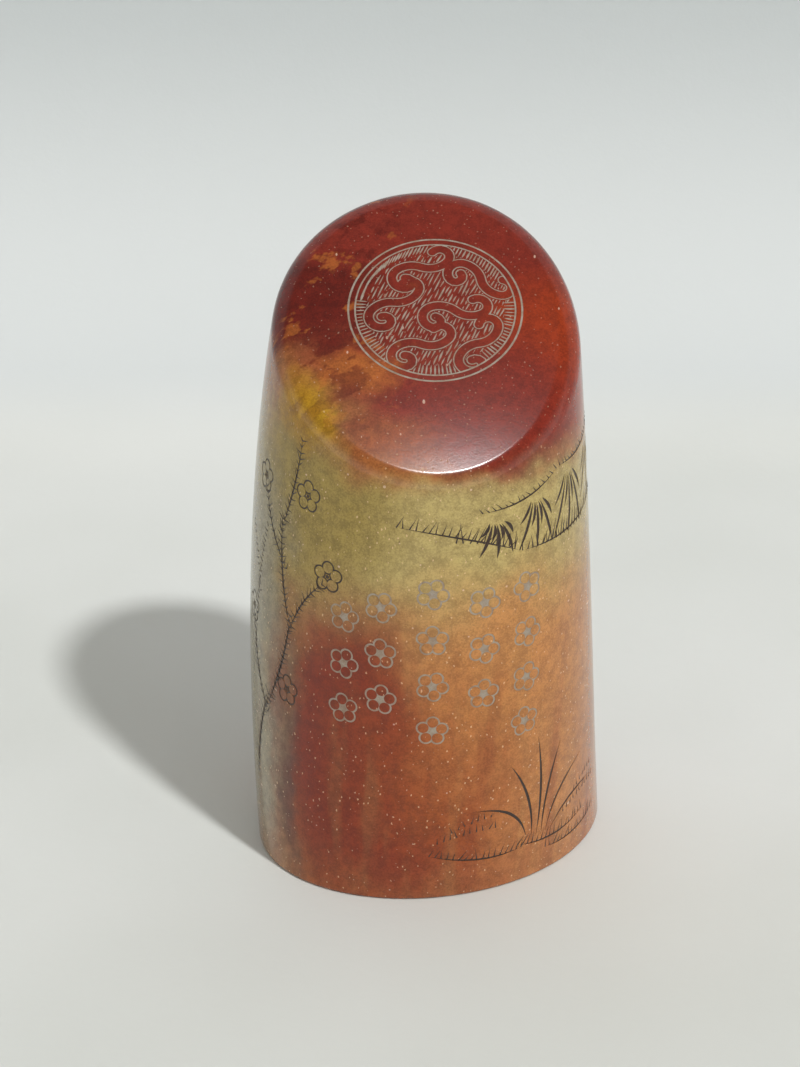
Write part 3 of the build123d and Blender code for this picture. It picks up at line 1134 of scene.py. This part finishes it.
def hue(code):
    """A colour written as six hexadecimal digits, as Blender's linear values."""
    values = [int(code[k : k + 2], 16) / 255 for k in (0, 2, 4)]
    return tuple(v / 12.92 if v <= 0.04045 else ((v + 0.055) / 1.055) ** 2.4 for v in values)


def new_material(name):
    material = bpy.data.materials.new(name)
    material.use_nodes = True
    tree = material.node_tree
    tree.nodes.clear()
    shader = tree.nodes.new("ShaderNodeBsdfPrincipled")
    output = tree.nodes.new("ShaderNodeOutputMaterial")
    tree.links.new(shader.outputs[0], output.inputs["Surface"])
    return material, tree, shader


# Colours that soapstone of this kind comes in
STONE_COLOURS = {
    "maroon": "82281a",
    "rust": "9a3410",
    "dark red": "5e1206",
    "orange brown": "b4662a",
    "ochre": "b08416",
    "khaki": "b8a468",
    "olive": "9c8642",
    "honey": "c68a50",
    "red brown": "842c12",
    "purple brown": "5c3c36",
    # The grey below is painted reflection: the pale surroundings mirrored on the stone's left side.
    "grey_reflection": "989078",
}

# Clouds in the stone: colour, strength, middle in millimetres, reach in millimetres, softness
STONE_CLOUDS = (
    ("khaki", 1.0, (3, -15, 39), (24, 22, 10), 0.45),
    ("honey", 0.9, (7, -14, 26), (15, 14, 9), 0.6),
    ("olive", 0.9, (-11, -11, 42), (8, 10, 8), 0.5),
    # Painted reflection: this olive strip and the grey one after it run down the left edge, standing for the pale
    # surroundings mirrored on that side.
    ("olive", 0.9, (-18, -6, 30), (6, 12, 20), 0.6),
    ("grey_reflection", 0.9, (-18, -6, 20), (4, 10, 27), 0.5),
    ("red brown", 1.0, (-8, -15, 17), (8, 9, 15), 0.5),
    ("red brown", 0.85, (-2, -17, 8), (11, 9, 8), 0.6),
    ("purple brown", 0.7, (-14, -12, 11), (1.2, 4, 13), 0.7),
    ("orange brown", 0.45, (6, -14, 16), (12, 10, 12), 0.6),
    ("honey", 0.6, (12, -11, 12), (6, 9, 12), 0.7),
    ("khaki", 0.8, (10, 17, 38), (15, 10, 14), 0.6),
    ("red brown", 0.8, (-5, 17, 15), (12, 9, 14), 0.6),
    ("maroon", 1.0, (0, 4, 61), (24, 19, 10), 0.35),
    ("dark red", 0.8, (-12, 0, 57), (5, 8, 5), 0.5),
    ("rust", 1.0, (12, -5, 54), (8, 9, 8), 0.4),
    ("maroon", 1.0, (3, -10, 51), (12, 9, 6.5), 0.45),
    ("maroon", 0.9, (4, -13, 48.5), (9, 6, 2.6), 0.6),
    ("orange brown", 0.4, (-4, -14, 47), (5, 5, 3), 0.6),
    ("orange brown", 0.8, (-7, -7, 53.5), (3.2, 3.2, 2.4), 0.6),
    ("ochre", 0.9, (-12, -10, 50), (2.8, 4, 3), 0.5),
)


def stone_material():
    """Polished soapstone: clouds of red, orange, khaki and purple, with grain, specks and scratches, and a
    grey-khaki strip of painted reflection down its left edge.
    """
    material, tree, shader = new_material("polished soapstone")
    where = tree.nodes.new("ShaderNodeTexCoord").outputs["Object"]
    wander = vector_calc(tree, "SUBTRACT", noise(tree, where, 120.0, 4.0, 0.6, True), (0.5, 0.5, 0.5))
    bent = vector_calc(tree, "ADD", where, vector_calc(tree, "MULTIPLY", wander, (0.009, 0.009, 0.009)))
    colour = blend(tree, spread(tree, noise(tree, bent, 90.0, 3.0), 0.35, 0.65), hue("a4643a"), hue("b87444"))
    for name, strength, middle, reach, softness in STONE_CLOUDS:
        mask = use_group(
            tree,
            groups()["patch"],
            Position=bent,
            Middle=tuple(value * MM for value in middle),
            Reach=tuple(value * MM for value in reach),
            Softness=softness,
        )["Mask"]
        colour = blend(tree, calc(tree, "MULTIPLY", mask, strength), colour, hue(STONE_COLOURS[name]))
    height = add(tree, "ShaderNodeSeparateXYZ", Vector=where).outputs[2]
    aside = add(tree, "ShaderNodeSeparateXYZ", Vector=where).outputs[0]
    upper = calc(tree, "MULTIPLY", spread(tree, height, 0.046, 0.054), spread(tree, aside, 0.0, -0.007))
    for turn, name, cut in (((0, -38, 0), "dark red", 0.5), ((0, -30, 10), "orange brown", 0.58)):
        along = place(tree, place(tree, where, turn), scale=(1.0, 1.0, 0.16))
        streak = noise(tree, along, 560.0, 3.0, 0.55)
        streak = calc(tree, "MULTIPLY", spread(tree, streak, cut, cut + 0.08), upper)
        colour = blend(tree, calc(tree, "MULTIPLY", streak, 0.6), colour, hue(STONE_COLOURS[name]))
    below = spread(tree, height, 0.034, 0.022)
    for name, shift, share in (("red brown", 0.0, 0.35), ("khaki", 40.0, 0.1)):
        vein = noise(tree, place(tree, where, (0, 6, shift), (1.0, 1.0, 0.14)), 300.0, 3.0, 0.55)
        vein = calc(tree, "MULTIPLY", spread(tree, vein, 0.48, 0.66), below)
        colour = blend(tree, calc(tree, "MULTIPLY", vein, share), colour, hue(STONE_COLOURS[name]))
    grain = use_group(tree, groups()["grain"], Position=where)
    lower = spread(tree, height, 0.040, 0.052, 0.6, 0.15)
    scratch = use_group(tree, groups()["scratch"], Position=where, Amount=1.0)["Mask"]
    shade = calc(tree, "MULTIPLY", calc(tree, "SUBTRACT", 1.0, grain["Mottle"]), 0.45)
    colour = blend(tree, shade, colour, (0.12, 0.07, 0.04), "MULTIPLY")
    colour = blend(tree, calc(tree, "MULTIPLY", grain["Pale Specks"], lower), colour, hue("e0bc90"))
    colour = blend(tree, calc(tree, "MULTIPLY", grain["Dark Specks"], 0.5), colour, hue("4a2a18"))
    colour = blend(tree, calc(tree, "MULTIPLY", scratch, 0.5), colour, hue("e0c0a8"))
    tree.links.new(colour, shader.inputs["Base Color"])
    rough = calc(tree, "ADD", 0.17, calc(tree, "MULTIPLY", grain["Pale Specks"], 0.25))
    tree.links.new(calc(tree, "ADD", rough, calc(tree, "MULTIPLY", scratch, 0.3)), shader.inputs["Roughness"])
    shader.inputs["IOR"].default_value = 1.44
    shader.inputs["Coat Weight"].default_value = 0.12
    shader.inputs["Coat Roughness"].default_value = 0.06
    raised, cut = calc(tree, "MULTIPLY", grain["Mottle"], 0.12), calc(tree, "MULTIPLY", scratch, 0.6)
    height = calc(tree, "SUBTRACT", raised, cut)
    height = calc(tree, "SUBTRACT", height, calc(tree, "MULTIPLY", grain["Pale Specks"], 0.35))
    bump = add(tree, "ShaderNodeBump", Strength=0.35, Distance=0.00003, Height=height)
    tree.links.new(bump.outputs[0], shader.inputs["Normal"])
    return material


def filling_material(name, colour, variation, roughness):
    """Powdery filling that has settled unevenly in its groove."""
    material, tree, shader = new_material(name)
    where = tree.nodes.new("ShaderNodeTexCoord").outputs["Object"]
    patchy = spread(tree, noise(tree, where, 1500.0, 3.0, 0.6), 0.35, 0.68)
    mixed = blend(tree, patchy, tuple(colour), variation)
    grain = use_group(tree, groups()["grain"], Position=where)
    mixed = blend(tree, calc(tree, "MULTIPLY", grain["Mottle"], 0.5), mixed, (0.55, 0.5, 0.45), "SOFT_LIGHT")
    tree.links.new(mixed, shader.inputs["Base Color"])
    tree.links.new(calc(tree, "ADD", roughness, calc(tree, "MULTIPLY", patchy, 0.2)), shader.inputs["Roughness"])
    bump = add(tree, "ShaderNodeBump", Strength=0.5, Distance=0.00004, Height=grain["Mottle"])
    tree.links.new(bump.outputs[0], shader.inputs["Normal"])
    return material


def paper_material(name, colour, darker):
    """Pale paper with a faint tooth, and painted shade that makes it darker and cooler as the sweep rises."""
    material, tree, shader = new_material(name)
    where = tree.nodes.new("ShaderNodeTexCoord").outputs["Object"]
    cloud = noise(tree, where, 9.0, 3.0, 0.55)
    tooth = noise(tree, where, 700.0, 3.0, 0.7)
    mixed = blend(tree, spread(tree, cloud, 0.3, 0.7), tuple(colour), darker)
    height = add(tree, "ShaderNodeSeparateXYZ", Vector=where).outputs[2]
    # Painted shade: the paper turns darker and cooler as it rises on the sweep, from its foot up to 6 cm.
    mixed = blend(tree, spread(tree, height, 0.0, 0.006), mixed, hue("d3d7d8"))
    mixed = blend(tree, spread(tree, height, 0.006, 0.06), mixed, hue("b8bec0"))
    tree.links.new(mixed, shader.inputs["Base Color"])
    shader.inputs["Roughness"].default_value = 0.75
    bump = add(tree, "ShaderNodeBump", Strength=0.12, Distance=0.0003, Height=tooth)
    tree.links.new(bump.outputs[0], shader.inputs["Normal"])

    # clear from its back, so that the stone can be seen from behind and from below
    behind = tree.nodes.new("ShaderNodeNewGeometry").outputs["Backfacing"]
    clear = tree.nodes.new("ShaderNodeBsdfTransparent")
    either = tree.nodes.new("ShaderNodeMixShader")
    tree.links.new(behind, either.inputs[0])
    tree.links.new(shader.outputs[0], either.inputs[1])
    tree.links.new(clear.outputs[0], either.inputs[2])
    output = next(node for node in tree.nodes if node.bl_idname == "ShaderNodeOutputMaterial")
    tree.links.new(either.outputs[0], output.inputs["Surface"])
    return material


def show(made, material, slot, *nodes):
    """Gives a piece its material and ties it to the frame."""
    made.data.materials.clear()
    made.data.materials.append(material)
    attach(made, "root")
    if nodes:
        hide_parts(*nodes)


class SEAL_OT_stone(bpy.types.Operator):
    """Carve the stone and polish it"""

    bl_idname = "seal.stone"
    bl_label = "Stone"

    def execute(self, context):
        show(built()["stone"].build("stone"), stone_material(), "soapstone", "stone_body")
        return {"FINISHED"}


class SEAL_OT_fillings(bpy.types.Operator):
    """Fill the ring, the roundel's ground and the columns of blossoms with pale powder"""

    bl_idname = "seal.fillings"
    bl_label = "Pale fillings"

    def execute(self, context):
        material = filling_material("pale filling", colours().pale, hue("8c7a6a"), 0.5)
        for node, shell in built()["fillings"].items():
            if node.endswith("_filling"):
                show(shell.build(node.replace("_filling", "_powder")), material, "pale_filling", node)
        return {"FINISHED"}


class SEAL_OT_inks(bpy.types.Operator):
    """Fill the plum, the bamboo, the orchid and the ground lines with dark ink"""

    bl_idname = "seal.inks"
    bl_label = "Dark inks"

    def execute(self, context):
        material = filling_material("dark ink", colours().dark, hue("3a2a22"), 0.35)
        for node, shell in built()["fillings"].items():
            if node.endswith("_ink"):
                show(shell.build(node.replace("_ink", "_line")), material, "dark_ink", node)
        show(build_strokes("fine_strokes", built()["block"], sizes(), material), material, "dark_ink")
        return {"FINISHED"}


def plane_strip(name, profile, width):
    """A sheet of paper that follows a profile from front to back."""
    points = [(x, y, z) for y, z in profile for x in (-width / 2, width / 2)]
    faces = [(2 * k, 2 * k + 1, 2 * k + 3, 2 * k + 2) for k in range(len(profile) - 1)]
    mesh = bpy.data.meshes.new(name)
    mesh.from_pydata(points, [], faces)
    for face in mesh.polygons:
        face.use_smooth = True
    sheet = bpy.data.objects.new(name, mesh)
    bpy.context.scene.collection.objects.link(sheet)
    return sheet


def lamp(name, kind, strength, toward, distance=1.0, **settings):
    """A lamp that shines from a direction at the middle of the stone."""
    data = bpy.data.lights.new(name, kind)
    data.energy = strength
    for key, value in settings.items():
        setattr(data, key, value)
    made = bpy.data.objects.new(name, data)
    way = Vector(toward).normalized()
    made.location = way * distance + Vector((0, 0, 0.035))
    made.rotation_euler = way.to_track_quat("Z", "Y").to_euler()
    bpy.context.scene.collection.objects.link(made)
    return made


def room_light():
    """A room with bright walls and a dim ceiling."""
    world = bpy.data.worlds.new("room")
    world.use_nodes = True
    tree = world.node_tree
    way = tree.nodes.new("ShaderNodeTexCoord").outputs["Generated"]
    height = add(tree, "ShaderNodeSeparateXYZ", Vector=way).outputs[2]
    background = tree.nodes["Background"]
    background.inputs["Color"].default_value = (1.0, 0.965, 0.90, 1.0)
    tree.links.new(spread(tree, height, 0.05, 0.7, 1.35, 0.28), background.inputs["Strength"])
    return world


class SEAL_OT_stage(bpy.types.Operator):
    """Set the paper, the lamps and the camera"""

    bl_idname = "seal.stage"
    bl_label = "Stage"

    def execute(self, context):
        scene = context.scene
        steps, radius = np.linspace(0, math.radians(SWEEP_ANGLE), 14), SWEEP_RADIUS
        bend = [(SWEEP_START + radius * math.sin(a), radius - radius * math.cos(a)) for a in steps]
        tip = bend[-1]
        end = (tip[0] + 0.2, tip[1] + 0.2 * math.tan(math.radians(SWEEP_ANGLE)))
        profile = [(-1.2, 0.0), (SWEEP_START, 0.0), *bend[1:], end]
        paper = plane_strip("paper", profile, 4.0)
        paper.data.materials.append(paper_material("paper", colours().floor, hue("d6d8d4")))
        sun = lamp("sun", "SUN", 1.95, (0.38, -0.46, 0.80), angle=math.radians(4), color=(0.98, 0.99, 0.985))
        sun.visible_glossy = False
        glint = lamp("window", "AREA", 1.5, (0.05, -0.272, 0.961), 0.7, shape="RECTANGLE", size=0.1, size_y=0.02)
        glint.visible_diffuse = False
        scene.world = room_light()
        scene.view_settings.view_transform = "Standard"
        data = bpy.data.cameras.new("camera")
        data.sensor_fit, data.sensor_height, data.sensor_width = "VERTICAL", SENSOR, SENSOR
        data.lens = FOCAL_LENGTH * SENSOR / FRAME_HEIGHT
        data.clip_start, data.clip_end = 0.01, 20.0
        camera = bpy.data.objects.new("camera", data)
        tilt = math.radians(CAMERA_TILT)
        target = Vector(CAMERA_TARGET)
        camera.location = target + CAMERA_DISTANCE * Vector((0.0, -math.cos(tilt), math.sin(tilt)))
        camera.rotation_euler = (math.pi / 2 - tilt, 0.0, 0.0)
        scene.collection.objects.link(camera)
        scene.camera = camera
        return {"FINISHED"}


class SEAL_PT_panel(bpy.types.Panel):
    """Lists the seal's steps, sizes and colours"""

    bl_idname = "SEAL_PT_panel"
    bl_label = "Soapstone Seal"
    bl_space_type = "VIEW_3D"
    bl_region_type = "UI"
    bl_category = "Seal"

    def draw(self, context):
        for step in STEPS:
            self.layout.operator(step.bl_idname)
        for group in (context.scene.seal_sizes, context.scene.seal_colours):
            for name in group.bl_rna.properties.keys():
                if name not in ("rna_type", "name"):
                    self.layout.prop(group, name)


STEPS = (SEAL_OT_stone, SEAL_OT_fillings, SEAL_OT_inks, SEAL_OT_stage)
CLASSES = (SealSizes, SealColours, *STEPS, SEAL_PT_panel)


def register():
    for kind in CLASSES:
        bpy.utils.register_class(kind)
    bpy.types.Scene.seal_sizes = PointerProperty(type=SealSizes)
    bpy.types.Scene.seal_colours = PointerProperty(type=SealColours)


def unregister():
    del bpy.types.Scene.seal_sizes, bpy.types.Scene.seal_colours
    for kind in reversed(CLASSES):
        bpy.utils.unregister_class(kind)


def main():
    register()
    for step in STEPS:
        area, name = step.bl_idname.split(".")
        getattr(getattr(bpy.ops, area), name)()


if __name__ == "__main__":
    main()
